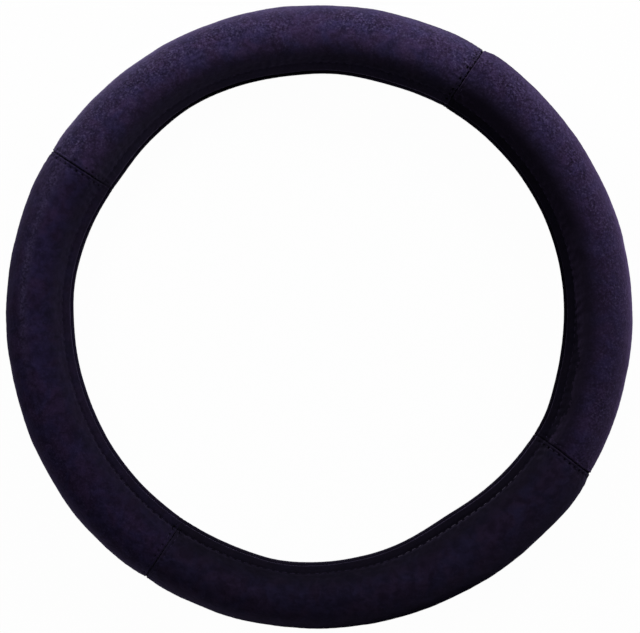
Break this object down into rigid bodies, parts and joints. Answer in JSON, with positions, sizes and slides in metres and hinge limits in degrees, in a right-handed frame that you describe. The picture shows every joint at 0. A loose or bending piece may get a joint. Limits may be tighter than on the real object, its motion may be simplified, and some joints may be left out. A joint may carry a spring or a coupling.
{
  "type": "steering wheel cover",
  "caption": "Slip-on ring cover for a car steering wheel: padded velour sewn end to end over a rubber grip ring that opens towards the hub.",
  "frame": {"origin": "centre of the ring, on the surface that the cover lies on", "axes": "+Z along the ring's axis, towards the driver's side; +Y towards the top of the picture; +X to its right"},
  "size_m": [0.3902, 0.3885, 0.0439],
  "materials": {
    "velour": "short-pile velour, dark plum navy, soft sheen where the pile catches the light",
    "foam": "open-cell sheet foam, dark grey, matt",
    "rubber": "moulded black rubber, matt, ribbed on the rim side"
  },
  "bodies": {
    "root": {"rubber_grip_ring": "rubber", "velour_panel_top": "velour", "velour_panel_left": "velour", "velour_panel_bottom": "velour", "velour_panel_right": "velour", "foam_strip_top": "foam", "foam_strip_left": "foam", "foam_strip_bottom": "foam", "foam_strip_right": "foam"}
  },
  "joints": []
}
